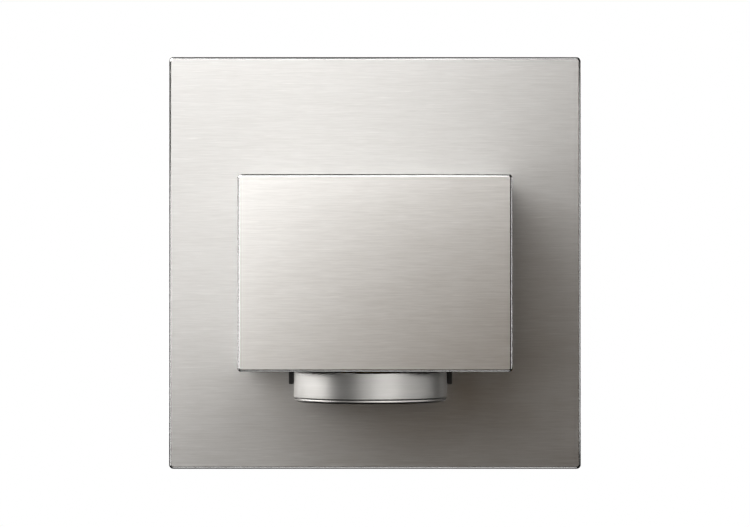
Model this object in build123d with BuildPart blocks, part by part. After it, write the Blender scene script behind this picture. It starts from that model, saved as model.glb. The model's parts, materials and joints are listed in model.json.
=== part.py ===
"""Flush-mounted wall switch: a square steel cover plate, a deep housing with a rocker face, and a knob below.

Frame, in millimetres: the wall is the plane Y = 0 and the switch faces -Y, with +Z up and +X to the right of
somebody facing it. The origin is the centre of the two box-screw slots, on the wall. Depths are given as "f",
the distance in front of the wall, so a negative f lies inside the wall box.
"""
from math import atan2, tan
import os

from build123d import *

# ---- driving dimensions --------------------------------------------------------------------------
PLATE_SIDE = 80.0  # square cover plate
PLATE_DEPTH = 5.5  # wall to the plate's front
PLATE_CORNER = 0.8
SHEET = 1.2  # stainless sheet thickness
EDGE = 0.5  # rounding of the visible front edges

BLOCK_W, BLOCK_H = 50.6, 36.4  # outline shared by the housing and the rocker face
BLOCK_Z = -1.85  # the block sits a little below the plate's centre
BLOCK_CORNER = 0.7
BLOCK_FRONT = 37.5  # wall to the rocker's front
ROCKER_THICK = 1.8
HOUSING_FRONT = 34.7  # leaves a shadow gap behind the rocker face

KNOB_X, KNOB_F = -0.85, 20.5  # vertical knob axis, a little left of centre
KNOB_R = 14.5
KNOB_TOP, KNOB_BOTTOM = -20.35, -26.1
GUARD_R = 15.45
GUARD_BOTTOM = -22.95
GUARD_SWEEP = 50  # degrees of each arc wall

RING_SIDE, RING_THICK = 71.0, 1.2  # support ring on a round wall box
BOX_SCREW_SPACING = 60.0
INSERT_R, INSERT_HALF_W, INSERT_DEPTH = 26.8, 20.1, 26.0

# ---- rocker mechanism ----------------------------------------------------------------------------
ROCKER_AXIS_F = 32.0
PUSH_X, PUSH_Z = 13.5, 10.5  # plunger places, measured from the rocker's axis
PLUNGER_R = 1.7
FRAME_BACK, FRAME_FRONT = 28.4, 30.0
BOARD_BACK, BOARD_FRONT = 20.0, 21.0
PILLAR_X, PILLAR_Z = 20.2, 13.2
FLANGE_FRONT = PLATE_DEPTH + SHEET
PLATE_INNER = PLATE_DEPTH - SHEET
M25_R = 1.25  # shank of an M2.5 screw

# ---- potentiometer above the knob ----------------------------------------------------------------
BLOCK_BOTTOM = BLOCK_Z - BLOCK_H / 2
FLOOR_IN = BLOCK_BOTTOM + SHEET  # inner face of the housing's bottom wall
SHAFT_R = 2.0
BUSH_R = 3.5
POT_R = 8.3
POT_FLANGE_TOP = FLOOR_IN + 1.2
POT_BOARD_TOP = POT_FLANGE_TOP + 0.8
POT_TOP = -12.6

# ---- wall-box insert -----------------------------------------------------------------------------
INSERT_WALL = 1.6
INSERT_FLOOR = 2.0
TERMINAL_X = (-13.5, -4.5, 4.5, 13.5)
TERMINAL_Z = -14.5
WIRE_HOLE_R = 1.6
LEVER_X, LEVER_Z = 9.0, -5.0
LEVER_W, LEVER_H = 9.0, 4.5
POWER_BOARD_F = -9.0
CLAW_SCREW_X = 26.2
CLAW_PIVOT_X, CLAW_PIVOT_F = 22.3, -3.0
CLAW_HALF = 4.2
NUT_DOME = 3.0
RING_SCREWS = [(11, 20.5), (-11, -20.5)]
LEAD_Z = 4.0
FUSE_X, FUSE_Z = -14.5, 17.0
CLIPS = [(x, z) for x in (-24.2, 24.2) for z in (-14, 14)]

PLUNGERS_UP = [(x, BLOCK_Z + PUSH_Z) for x in (-PUSH_X, PUSH_X)]
PLUNGERS_DOWN = [(x, BLOCK_Z - PUSH_Z) for x in (-PUSH_X, PUSH_X)]
PILLARS = [(x, BLOCK_Z + z) for x in (-PILLAR_X, PILLAR_X) for z in (-PILLAR_Z, PILLAR_Z)]
STANDOFFS = [(-9, 12), (9, 12)]
KNOB_Y = -KNOB_F
KNOB_AXIS = Axis((KNOB_X, KNOB_Y, 0), (0, 0, 1))

FOLDER = "parts"
os.makedirs(FOLDER, exist_ok=True)


def at(f):
    """The plane parallel to the wall at depth f: sketch x and y are X and Z, and extrusions go forwards."""
    return Plane.XZ.offset(f)


def knob_section():
    """The upright plane through the knob's axis, for turned profiles: sketch x is the radius, y is Z."""
    return Plane(origin=(KNOB_X, KNOB_Y, 0), x_dir=(1, 0, 0), z_dir=(0, -1, 0))


def save(builder, label):
    builder.part.label = label
    export_step(builder.part, f"{FOLDER}/{label}.step")


def disc(z, height, radius, x=KNOB_X, y=KNOB_Y, mode=Mode.ADD):
    """A cylinder about the knob's axis standing on height z."""
    with Locations((x, y, z)):
        Cylinder(radius, height, align=(Align.CENTER, Align.CENTER, Align.MIN), mode=mode)


def screw_set(label, places, head_f, head_r, head_h, shank_r, length, drive=True):
    """Screws driven backwards (head in front) or forwards (negative length) at (x, z) places."""
    away = 1 if length > 0 else -1
    with BuildPart() as screws:
        with BuildSketch(at(head_f)):
            with Locations(*places):
                Circle(head_r)
        extrude(amount=away * head_h)
        head_rim = screws.faces().group_by(Axis.Y)[0 if away > 0 else -1].edges()
        fillet(head_rim, 0.3)
        with BuildSketch(at(head_f)):
            with Locations(*places):
                Circle(shank_r)
        extrude(amount=-length)
        tip = screws.faces().group_by(Axis.Y)[-1 if away > 0 else 0].edges()
        chamfer(tip, 0.3)
        if drive:
            with BuildSketch(at(head_f + away * head_h)):
                with Locations(*places):
                    Rectangle(1.3 * head_r, 0.45)
                    Rectangle(0.45, 1.3 * head_r)
            extrude(amount=-away * 0.6 * head_h, mode=Mode.SUBTRACT)
    save(screws, label)


# ---- front: plate, housing, rocker ---------------------------------------------------------------
def cover_plate():
    with BuildPart() as plate:
        with BuildSketch(at(0)):
            RectangleRounded(PLATE_SIDE, PLATE_SIDE, PLATE_CORNER)
        extrude(amount=PLATE_DEPTH)
        fillet(plate.faces().sort_by(Axis.Y)[0].edges(), EDGE)
        with BuildSketch(at(0)):
            inner = PLATE_SIDE - 2 * SHEET
            RectangleRounded(inner, inner, PLATE_CORNER / 2)
        extrude(amount=PLATE_INNER, mode=Mode.SUBTRACT)
        with BuildSketch(at(0)):
            with Locations((0, LEAD_Z)):
                RectangleRounded(24, 12, 2)
            with Locations(*PILLARS):
                Circle(M25_R + 0.15)
        extrude(amount=PLATE_DEPTH, mode=Mode.SUBTRACT)
    save(plate, "cover_plate")


def clip_frame():
    """Black frame glued into the pan of the plate; its four barbed legs snap into the support ring."""
    side = PLATE_SIDE - 2 * SHEET - 0.4
    back = RING_THICK + 0.2
    with BuildPart() as frame:
        with BuildSketch(at(back)):
            RectangleRounded(side, side, 1.0)
            RectangleRounded(46, 52, 2, mode=Mode.SUBTRACT)
            RectangleRounded(58.5, 21, 1, mode=Mode.SUBTRACT)
            with GridLocations(66, 66, 2, 2):
                Circle(2.4, mode=Mode.SUBTRACT)
        extrude(amount=PLATE_INNER - back)
        for side_of_x in (-1, 1):
            for z in (-14, 14):
                with BuildSketch(Plane.XY.offset(z - 2.5)):
                    with BuildLine():
                        outline = [(23.5, -back), (24.9, -back), (24.9, 0.25), (25.35, 0.6), (24.3, 3.4), (23.5, 3.4)]
                        Polyline(*[(side_of_x * x, y) for x, y in outline], close=True)
                    make_face()
                extrude(amount=5)
    save(frame, "clip_frame")


def housing_shell():
    """Folded stainless sleeve, open to the front, with an inward flange that the plate's screws clamp."""
    with BuildPart() as shell:
        with BuildSketch(at(PLATE_DEPTH)):
            with Locations((0, BLOCK_Z)):
                RectangleRounded(BLOCK_W, BLOCK_H, BLOCK_CORNER)
        extrude(amount=HOUSING_FRONT - PLATE_DEPTH)
        with BuildSketch(at(FLANGE_FRONT)):
            with Locations((0, BLOCK_Z)):
                RectangleRounded(BLOCK_W - 2 * SHEET, BLOCK_H - 2 * SHEET, BLOCK_CORNER / 2)
        extrude(amount=HOUSING_FRONT - FLANGE_FRONT, mode=Mode.SUBTRACT)
        with BuildSketch(at(PLATE_DEPTH)):
            with Locations((0, BLOCK_Z)):
                RectangleRounded(BLOCK_W - 17, BLOCK_H - 17, 1.5)
            with Locations(*PILLARS):
                Circle(M25_R + 0.15)
        extrude(amount=SHEET, mode=Mode.SUBTRACT)
        chamfer(shell.faces().sort_by(Axis.Y)[0].edges(), 0.15)
        disc(BLOCK_BOTTOM, SHEET, BUSH_R + 0.1, mode=Mode.SUBTRACT)
        extrude(guard_arcs(BLOCK_BOTTOM, 0.05), amount=SHEET, mode=Mode.SUBTRACT)
    save(shell, "housing_shell")


def guard_arcs(z, grow):
    """Sketch of the two arc walls beside the knob, each from abreast of the axis round towards the wall."""
    inner, outer = KNOB_R + 0.15 - grow, GUARD_R + grow
    centre = Vector(KNOB_X, KNOB_Y)
    with BuildSketch(Plane.XY.offset(z)) as arcs:
        for start in (0, 180 - GUARD_SWEEP):
            with BuildLine():
                low = CenterArc(centre, inner, start, GUARD_SWEEP)
                high = CenterArc(centre, outer, start, GUARD_SWEEP)
                Line(low @ 0, high @ 0)
                Line(low @ 1, high @ 1)
            make_face()
    return arcs.sketch


def knob_guard():
    """Black moulding: a base inside the housing, with two arc walls that hang beside the knob."""
    with BuildPart() as guard:
        with BuildSketch(Plane.XY.offset(FLOOR_IN)):
            with Locations((KNOB_X, -18.0)):
                RectangleRounded(2 * GUARD_R + 1.6, 20.0, 2.0)
            with Locations((KNOB_X, KNOB_Y)):
                Circle(POT_R + 0.2, mode=Mode.SUBTRACT)
        extrude(amount=0.8)
        extrude(guard_arcs(GUARD_BOTTOM, 0.0), amount=FLOOR_IN - GUARD_BOTTOM)
        lower = guard.faces().group_by(Axis.Z)[0].edges()
        fillet(lower, 0.2)
    save(guard, "knob_guard")


def rocker_plate():
    with BuildPart() as face:
        with BuildSketch(at(BLOCK_FRONT - ROCKER_THICK)):
            with Locations((0, BLOCK_Z)):
                RectangleRounded(BLOCK_W, BLOCK_H, BLOCK_CORNER)
        extrude(amount=ROCKER_THICK)
        fillet(face.faces().sort_by(Axis.Y)[0].edges(), EDGE)
        chamfer(face.faces().sort_by(Axis.Y)[-1].edges(), 0.15)
    save(face, "rocker_plate")


def rocker_carrier():
    """Plastic tray glued behind the rocker face, with two ears that turn on the pins and stiffening ribs."""
    back = BLOCK_FRONT - ROCKER_THICK
    with BuildPart() as carrier:
        with BuildSketch(at(back)):
            with Locations((0, BLOCK_Z)):
                RectangleRounded(46.6, 32.6, 1.0)
        extrude(amount=-1.2)
        for side in (-1, 1):
            with BuildSketch(Plane.YZ.offset(side * 20.25 - 0.75)):
                with Locations((-(ROCKER_AXIS_F + 1.25), BLOCK_Z)):
                    Rectangle(2.6, 3.8)
                with Locations((-ROCKER_AXIS_F, BLOCK_Z)):
                    Circle(1.9)
                    Circle(1.05, mode=Mode.SUBTRACT)
            extrude(amount=1.5)
        with BuildSketch(at(back - 1.2)):
            with Locations((0, BLOCK_Z + 5.2), (0, BLOCK_Z - 5.2)):
                Rectangle(36, 1.0)
            with Locations((-9.5, BLOCK_Z), (9.5, BLOCK_Z)):
                Rectangle(1.0, 10.4)
        extrude(amount=-1.0)
    save(carrier, "rocker_carrier")


def rocker_pins():
    with BuildPart() as pins:
        for side in (-1, 1):
            with BuildSketch(Plane.YZ.offset(side * 21.2 - 1.8)):
                with Locations((-ROCKER_AXIS_F, BLOCK_Z)):
                    Circle(1.0)
            extrude(amount=3.6)
    save(pins, "rocker_pins")


def mechanism_frame():
    """Black frame in the housing's mouth: it carries the pins, guides the plungers and holds the button board."""
    with BuildPart() as frame:
        with BuildSketch(at(FRAME_BACK)):
            with Locations((0, BLOCK_Z)):
                RectangleRounded(47.6, 33.5, 0.5)
            with Locations((KNOB_X, BLOCK_BOTTOM)):
                Rectangle(18.6, 17.0, mode=Mode.SUBTRACT)
            with Locations((0, BLOCK_Z + 2.0)):
                RectangleRounded(14, 9, 1.5, mode=Mode.SUBTRACT)
        extrude(amount=FRAME_FRONT - FRAME_BACK)
        with BuildSketch(at(FRAME_BACK)):
            with Locations(*PILLARS):
                Circle(2.6)
        extrude(amount=FLANGE_FRONT - FRAME_BACK)
        with BuildSketch(at(FRAME_BACK)):
            with Locations(*STANDOFFS):
                Circle(2.2)
        extrude(amount=BOARD_FRONT - FRAME_BACK)
        for side in (-1, 1):
            with BuildSketch(Plane.YZ.offset(side * 22.15 - 0.85)):
                with Locations((-(FRAME_FRONT + ROCKER_AXIS_F) / 2, BLOCK_Z)):
                    Rectangle(ROCKER_AXIS_F - FRAME_FRONT, 4.0)
                with Locations((-ROCKER_AXIS_F, BLOCK_Z)):
                    Circle(2.0)
            extrude(amount=1.7)
            with BuildSketch(Plane.YZ.offset(side * 21.2 - 1.8)):
                with Locations((-ROCKER_AXIS_F, BLOCK_Z)):
                    Circle(1.0)
            extrude(amount=3.6, mode=Mode.SUBTRACT)
        with BuildSketch(at(FRAME_FRONT)):
            with Locations(*PLUNGERS_UP, *PLUNGERS_DOWN):
                Circle(PLUNGER_R + 0.05)
        extrude(amount=FRAME_BACK - FRAME_FRONT, mode=Mode.SUBTRACT)
        with BuildSketch(at(FLANGE_FRONT)):
            with Locations(*PILLARS):
                Circle(M25_R)
        extrude(amount=10.5, mode=Mode.SUBTRACT)
        with BuildSketch(at(BOARD_FRONT)):
            with Locations(*STANDOFFS):
                Circle(0.9)
        extrude(amount=5, mode=Mode.SUBTRACT)
    save(frame, "mechanism_frame")


PLUNGER_TIP = BLOCK_FRONT - ROCKER_THICK - 1.2 - 0.08
COLLAR_BACK, COLLAR_FRONT = 26.8, 27.8
STEM_END = 22.0
BRIDGE_BACK = 21.7


def plungers(label, places):
    with BuildPart() as push:
        with BuildSketch(at(COLLAR_FRONT)):
            with Locations(*places):
                Circle(PLUNGER_R)
        extrude(amount=PLUNGER_TIP - COLLAR_FRONT)
        fillet(push.faces().group_by(Axis.Y)[0].edges(), 1.2)
        with BuildSketch(at(COLLAR_BACK)):
            with Locations(*places):
                Circle(2.6)
        extrude(amount=COLLAR_FRONT - COLLAR_BACK)
        with BuildSketch(at(STEM_END)):
            with Locations(*places):
                Circle(1.2)
        extrude(amount=COLLAR_BACK - STEM_END)
    save(push, label)


def contact_bridges(label, places):
    with BuildPart() as bridges:
        with BuildSketch(at(BRIDGE_BACK)):
            with Locations(*places):
                Circle(1.55)
        extrude(amount=STEM_END - BRIDGE_BACK)
    save(bridges, label)


def plunger_springs(label, places):
    """Tube-shaped stand-ins that take the coils' exact room, from the board to the plunger's collar."""
    with BuildPart() as springs:
        with BuildSketch(at(BOARD_FRONT)):
            with Locations(*places):
                Circle(2.3)
                Circle(1.9, mode=Mode.SUBTRACT)
        extrude(amount=COLLAR_BACK - BOARD_FRONT)
    save(springs, label)


def button_board():
    with BuildPart() as board:
        with BuildSketch(at(BOARD_BACK)):
            with Locations((0, BLOCK_Z)):
                RectangleRounded(46.4, 32.2, 0.6)
            with Locations((KNOB_X, BLOCK_BOTTOM)):
                Rectangle(18.8, 16.8, mode=Mode.SUBTRACT)
            with Locations(*PILLARS):
                Circle(2.75, mode=Mode.SUBTRACT)
            with Locations(*STANDOFFS):
                Circle(1.0, mode=Mode.SUBTRACT)
        extrude(amount=BOARD_FRONT - BOARD_BACK)
    save(board, "button_board")


def board_contacts():
    """Pairs of gilded pads on the button board, bridged by a plunger's disc when it is pushed in."""
    with BuildPart() as pads:
        with BuildSketch(at(BOARD_FRONT)):
            for x, z in PLUNGERS_UP + PLUNGERS_DOWN:
                with Locations((x - 0.75, z), (x + 0.75, z)):
                    Rectangle(1.0, 2.2)
        extrude(amount=0.08)
    save(pads, "board_contacts")


def board_socket():
    with BuildPart() as socket:
        with BuildSketch(at(BOARD_BACK)):
            with Locations((0, LEAD_Z + 5)):
                Rectangle(9, 4)
        extrude(amount=-3)
        chamfer(socket.faces().sort_by(Axis.Y)[-1].edges(), 0.3)
    save(socket, "board_socket")


# ---- knob and potentiometer ----------------------------------------------------------------------
KNOB_FLOOR = 1.0


def knob_shell():
    """Turned cup: a crisp foot, a fine groove and a thin bevelled rim below it; open at the top."""
    foot = KNOB_BOTTOM + 0.65
    groove = foot - 0.2
    inner = KNOB_R - 1.1
    with BuildPart() as cup:
        with BuildSketch(knob_section()):
            with BuildLine():
                top = Line((inner, KNOB_TOP), (KNOB_R - 0.15, KNOB_TOP))
                bevel = Line(top @ 1, (KNOB_R, KNOB_TOP - 0.15))
                wall = Line(bevel @ 1, (KNOB_R, foot + 0.25))
                heel = ThreePointArc(wall @ 1, (KNOB_R - 0.07, foot + 0.07), (KNOB_R - 0.25, foot))
                Polyline(
                    heel @ 1,
                    (KNOB_R - 0.6, foot),
                    (KNOB_R - 0.6, groove),
                    (KNOB_R - 0.15, groove),
                    (KNOB_R - 0.15, KNOB_BOTTOM + 0.3),
                    (KNOB_R - 0.45, KNOB_BOTTOM),
                    (0, KNOB_BOTTOM),
                    (0, KNOB_BOTTOM + KNOB_FLOOR),
                    (inner, KNOB_BOTTOM + KNOB_FLOOR),
                    (inner, KNOB_TOP),
                )
            make_face()
        revolve(axis=KNOB_AXIS)
    save(cup, "knob_shell")


HUB_BACK = KNOB_BOTTOM + KNOB_FLOOR
BUSH_BOTTOM = -22.4


def d_profile(radius, flat):
    """Sketch of a shaft section with one flat side."""
    with Locations((KNOB_X, KNOB_Y)):
        Circle(radius)
    with Locations((KNOB_X, KNOB_Y - radius - flat)):
        Rectangle(2 * radius, 2 * radius, mode=Mode.SUBTRACT)


def knob_hub():
    """Plastic hub pressed into the cup; its D-shaped hole drives the shaft."""
    with BuildPart() as hub:
        disc(HUB_BACK, 1.0, KNOB_R - 1.1)
        disc(HUB_BACK, 2.35, 5.0)
        with BuildSketch(Plane.XY.offset(HUB_BACK)):
            with Locations((KNOB_X, KNOB_Y)):
                Circle(KNOB_R - 1.1)
                Circle(KNOB_R - 2.3, mode=Mode.SUBTRACT)
                with PolarLocations(8.6, 6):
                    Rectangle(7.4, 0.9)
        extrude(amount=2.6)
        disc(HUB_BACK + 2.35, 0.5, 6.2, mode=Mode.SUBTRACT)
        with BuildSketch(Plane.XY.offset(HUB_BACK)):
            d_profile(SHAFT_R, 0.5)
        extrude(amount=2.6, mode=Mode.SUBTRACT)
    save(hub, "knob_hub")


ROTOR_BOTTOM, ROTOR_TOP = -15.6, -14.2


def pot_shaft():
    with BuildPart() as shaft:
        disc(BUSH_BOTTOM - 0.15, ROTOR_TOP - BUSH_BOTTOM + 0.15, SHAFT_R)
        with BuildSketch(Plane.XY.offset(HUB_BACK)):
            d_profile(SHAFT_R, 0.5)
        extrude(amount=BUSH_BOTTOM - 0.15 - HUB_BACK)
    save(shaft, "pot_shaft")


def pot_rotor():
    """Rotor disc with a stop lug that ends the turn against the case."""
    with BuildPart() as rotor:
        disc(ROTOR_BOTTOM, ROTOR_TOP - ROTOR_BOTTOM, 6.9)
        with BuildSketch(Plane.XY.offset(ROTOR_BOTTOM)):
            with Locations((KNOB_X, KNOB_Y - 6.9)):
                Rectangle(1.6, 1.3)
        extrude(amount=ROTOR_TOP - ROTOR_BOTTOM)
        disc(ROTOR_BOTTOM, 3, SHAFT_R, mode=Mode.SUBTRACT)
    save(rotor, "pot_rotor")


def pot_wiper():
    """Sprung brass fingers under the rotor, running just clear of the track and the collector ring."""
    with BuildPart() as wiper:
        with BuildSketch(Plane.XY.offset(ROTOR_BOTTOM - 0.25)):
            with Locations((KNOB_X, KNOB_Y - 4.6)):
                Rectangle(2.4, 4.4)
        extrude(amount=0.25)
        for radius in (3.4, 5.8):
            with BuildSketch(Plane.XY.offset(POT_BOARD_TOP + 0.13)):
                with Locations((KNOB_X, KNOB_Y - radius)):
                    Circle(0.5)
            extrude(amount=ROTOR_BOTTOM - 0.25 - POT_BOARD_TOP - 0.13)
    save(wiper, "pot_wiper")


def pot_track():
    """Carbon track of 300 degrees on the potentiometer's board, with the collector ring inside it."""
    gap = 30
    with BuildPart() as track:
        with BuildSketch(Plane.XY.offset(POT_BOARD_TOP)):
            with BuildLine():
                centre = Vector(KNOB_X, KNOB_Y)
                low = CenterArc(centre, 4.9, 90 + gap, 360 - 2 * gap)
                high = CenterArc(centre, 6.7, 90 + gap, 360 - 2 * gap)
                Line(low @ 0, high @ 0)
                Line(low @ 1, high @ 1)
            make_face()
            with Locations((KNOB_X, KNOB_Y)):
                Circle(4.1)
                Circle(2.7, mode=Mode.SUBTRACT)
        extrude(amount=0.08)
    save(track, "pot_track")


def pot_board():
    """Resistor board with a tongue that carries the three pins out through the case."""
    with BuildPart() as board:
        with BuildSketch(Plane.XY.offset(POT_FLANGE_TOP)):
            with Locations((KNOB_X, KNOB_Y)):
                Circle(POT_R - 0.45)
            with Locations((KNOB_X, KNOB_Y + 8.6)):
                Rectangle(8.4, 4.0)
            with Locations((KNOB_X, KNOB_Y)):
                Circle(SHAFT_R + 0.3, mode=Mode.SUBTRACT)
        extrude(amount=POT_BOARD_TOP - POT_FLANGE_TOP)
    save(board, "pot_board")


PIN_PITCH = 2.5
PIN_Y = KNOB_Y + 9.9


def pot_pins():
    with BuildPart() as pins:
        with BuildSketch(Plane.XY.offset(POT_BOARD_TOP)):
            with Locations((KNOB_X, PIN_Y)):
                with GridLocations(PIN_PITCH, 1, 3, 1):
                    Rectangle(1.1, 0.5)
        extrude(amount=1.4)
    save(pins, "pot_pins")


def pot_bushing():
    """Brass flange and threaded neck that pass down through the housing's bottom wall."""
    with BuildPart() as bush:
        disc(FLOOR_IN, POT_FLANGE_TOP - FLOOR_IN, POT_R - 0.1)
        disc(BUSH_BOTTOM, FLOOR_IN - BUSH_BOTTOM, BUSH_R)
        chamfer(bush.faces().sort_by(Axis.Z)[0].edges(), 0.25)
        disc(BUSH_BOTTOM, POT_FLANGE_TOP - BUSH_BOTTOM, SHAFT_R + 0.05, mode=Mode.SUBTRACT)
    save(bush, "pot_bushing")


def pot_case():
    """Cap over the rotor, with an inner stop at the wall side and a slot for the pin tongue."""
    with BuildPart() as case:
        disc(POT_FLANGE_TOP, POT_TOP - POT_FLANGE_TOP, POT_R)
        fillet(case.faces().sort_by(Axis.Z)[-1].edges(), 0.5)
        disc(POT_FLANGE_TOP, POT_TOP - POT_FLANGE_TOP - 0.5, POT_R - 0.4, mode=Mode.SUBTRACT)
        with BuildSketch(Plane.XY.offset(ROTOR_BOTTOM - 0.2)):
            with Locations((KNOB_X, KNOB_Y + 7.5)):
                Rectangle(3.4, 0.9)
        extrude(amount=ROTOR_TOP - ROTOR_BOTTOM + 0.6)
        with BuildSketch(Plane.XY.offset(POT_FLANGE_TOP)):
            with Locations((KNOB_X, KNOB_Y + 8.0)):
                Rectangle(8.6, 3.0)
        extrude(amount=POT_BOARD_TOP - POT_FLANGE_TOP, mode=Mode.SUBTRACT)
    save(case, "pot_case")


def pot_nut():
    """Hexagon nut and toothed washer under the housing, hidden inside the knob's cup."""
    with BuildPart() as nut:
        with BuildSketch(Plane.XY.offset(BLOCK_BOTTOM - 1.7)):
            with Locations((KNOB_X, KNOB_Y)):
                RegularPolygon(5.6, 6)
        extrude(amount=1.3)
        disc(BLOCK_BOTTOM - 1.7, 1.3, BUSH_R, mode=Mode.SUBTRACT)
    save(nut, "pot_nut")
    with BuildPart() as washer:
        disc(BLOCK_BOTTOM - 0.4, 0.4, 6.0)
        disc(BLOCK_BOTTOM - 0.4, 0.4, BUSH_R + 0.05, mode=Mode.SUBTRACT)
    save(washer, "pot_washer")


# ---- support ring and claws ----------------------------------------------------------------------
def support_ring():
    """Zinc-plated ring: slots for the wall box's screws, windows for the clips, bent lugs for the claws."""
    with BuildPart() as ring:
        with BuildSketch(at(0)):
            RectangleRounded(RING_SIDE, RING_SIDE, 5)
            Circle(19.5, mode=Mode.SUBTRACT)
            half = BOX_SCREW_SPACING / 2
            with Locations((0, half), (0, -half)):
                SlotOverall(6.6, 3.6, rotation=90, mode=Mode.SUBTRACT)
            with Locations(*CLIPS):
                Rectangle(2.8, 6.2, mode=Mode.SUBTRACT)
            with Locations((-CLAW_SCREW_X, 0), (CLAW_SCREW_X, 0)):
                Circle(1.4, mode=Mode.SUBTRACT)
            with Locations(*RING_SCREWS):
                Circle(1.25, mode=Mode.SUBTRACT)
        extrude(amount=RING_THICK)
        for side in (-1, 1):
            for z in (-5.8, 4.7):
                with BuildSketch(Plane.XY.offset(z)):
                    with Locations((side * CLAW_PIVOT_X, 1.5)):
                        Rectangle(3.8, 3.0)
                    with Locations((side * CLAW_PIVOT_X, -CLAW_PIVOT_F)):
                        Circle(1.9)
                        Circle(0.8, mode=Mode.SUBTRACT)
                extrude(amount=1.1)
    save(ring, "support_ring")


def claw(side):
    """Spreading claw: an eye on its pin, a tab round the screw and an arm with a toothed, turned-out tip."""
    x, y = CLAW_PIVOT_X, -CLAW_PIVOT_F
    arm = [(x - 0.6, y), (x + 0.6, y), (x + 0.6, 19.4), (x + 2.0, 22.6), (x + 0.9, 23.0), (x - 0.6, 19.7)]
    with BuildPart() as piece:
        with BuildSketch(Plane.XY.offset(-CLAW_HALF)):
            with BuildLine():
                Polyline(*[(side * px, py) for px, py in arm], close=True)
            make_face()
            with Locations((side * x, y)):
                Circle(1.7)
        extrude(amount=2 * CLAW_HALF)
        with BuildSketch(Plane.XY.offset(-2.9)):
            with Locations((side * (CLAW_SCREW_X + 2.8 + x) / 2, y)):
                Rectangle(CLAW_SCREW_X + 2.8 - x, 1.2)
        extrude(amount=5.8)
        with BuildSketch(Plane.XY.offset(-CLAW_HALF)):
            with Locations((side * x, y)):
                Circle(0.85)
        extrude(amount=2 * CLAW_HALF, mode=Mode.SUBTRACT)
        with BuildSketch(at(0)):
            with Locations((side * CLAW_SCREW_X, 0)):
                Circle(2.0)
        extrude(amount=-6, mode=Mode.SUBTRACT)
        with BuildSketch(at(-24)):
            with Locations((side * (x + 1.5), 2.1), (side * (x + 1.5), -2.1)):
                Rectangle(6, 1.4)
        extrude(amount=2.4, mode=Mode.SUBTRACT)
    return piece


def claw_nut(side):
    """Square nut behind the claw's tab; its domed front draws the tab forwards as the screw turns."""
    centre_y = 3.65 + NUT_DOME
    with BuildPart() as nut:
        with BuildSketch(Plane.XZ.offset(-3.0)):
            with Locations((side * CLAW_SCREW_X, 0)):
                Rectangle(4.4, 4.4)
        extrude(amount=-3.4)
        with Locations((side * CLAW_SCREW_X, centre_y, 0)):
            Sphere(NUT_DOME + 0.001, mode=Mode.INTERSECT)
        with BuildSketch(Plane.XZ.offset(-3.0)):
            with Locations((side * CLAW_SCREW_X, 0)):
                Circle(M25_R + 0.02)
        extrude(amount=-4, mode=Mode.SUBTRACT)
    return nut


def claws():
    for side, word in ((-1, "left"), (1, "right")):
        save(claw(side), f"claw_{word}")
        screw_set(f"claw_screw_{word}", [(side * CLAW_SCREW_X, 0)], RING_THICK, 2.2, 1.5, M25_R, 9.6)
        save(claw_nut(side), f"claw_nut_{word}")
    with BuildPart() as pins:
        for side in (-1, 1):
            with Locations((side * CLAW_PIVOT_X, -CLAW_PIVOT_F, -6.2)):
                Cylinder(0.8, 12.4, align=(Align.CENTER, Align.CENTER, Align.MIN))
                Cylinder(1.2, 0.4, align=(Align.CENTER, Align.CENTER, Align.MIN))
            with Locations((side * CLAW_PIVOT_X, -CLAW_PIVOT_F, 5.8)):
                Cylinder(1.2, 0.4, align=(Align.CENTER, Align.CENTER, Align.MIN))
    save(pins, "claw_pins")


# ---- wall-box insert -----------------------------------------------------------------------------
def insert_outline(inset):
    """Sketch of the insert's section: a circle with flats at both sides, drawn inset by the given wall."""
    Circle(INSERT_R - inset)
    Rectangle(2 * (INSERT_HALF_W - inset), 2 * INSERT_R, mode=Mode.INTERSECT)


def insert_base():
    """Grey cup with four wire entries and two lever slots in its floor, and bosses for the ring's screws."""
    floor_in = INSERT_FLOOR - INSERT_DEPTH
    with BuildPart() as base:
        with BuildSketch(at(0)):
            insert_outline(0)
        extrude(amount=-INSERT_DEPTH)
        chamfer(base.faces().sort_by(Axis.Y)[-1].edges(), 1.0)
        with BuildSketch(at(0)):
            insert_outline(INSERT_WALL)
        extrude(amount=floor_in, mode=Mode.SUBTRACT)
        with BuildSketch(at(floor_in)):
            with Locations((0, TERMINAL_Z)):
                Rectangle(36.4, 8.0)
        extrude(amount=4.0)
        with BuildSketch(at(floor_in)):
            with Locations(*RING_SCREWS):
                Circle(2.5)
        extrude(amount=-floor_in - 1.8)
        with BuildSketch(at(-INSERT_DEPTH)):
            with Locations(*[(x, TERMINAL_Z) for x in TERMINAL_X]):
                Circle(WIRE_HOLE_R)
            with Locations((-LEVER_X, LEVER_Z), (LEVER_X, LEVER_Z)):
                RectangleRounded(LEVER_W + 0.3, LEVER_H + 0.3, 0.6)
        extrude(amount=6.0, mode=Mode.SUBTRACT)
        with BuildSketch(at(-1.8)):
            with Locations(*RING_SCREWS):
                Circle(1.1)
        extrude(amount=-8, mode=Mode.SUBTRACT)
    save(base, "insert_base")


def insert_cover():
    with BuildPart() as cover:
        with BuildSketch(at(-1.5)):
            insert_outline(INSERT_WALL + 0.15)
            with Locations(*RING_SCREWS):
                Circle(1.3, mode=Mode.SUBTRACT)
        extrude(amount=1.5)
        with BuildSketch(at(0)):
            Circle(19.3)
        extrude(amount=RING_THICK)
        chamfer(cover.faces().sort_by(Axis.Y)[0].edges(), 0.3)
        with BuildSketch(at(-1.5)):
            with GridLocations(5, 22, 5, 2):
                SlotOverall(5, 1.2, rotation=90, mode=Mode.ADD)
        extrude(amount=3, mode=Mode.SUBTRACT)
    save(cover, "insert_cover")


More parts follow.
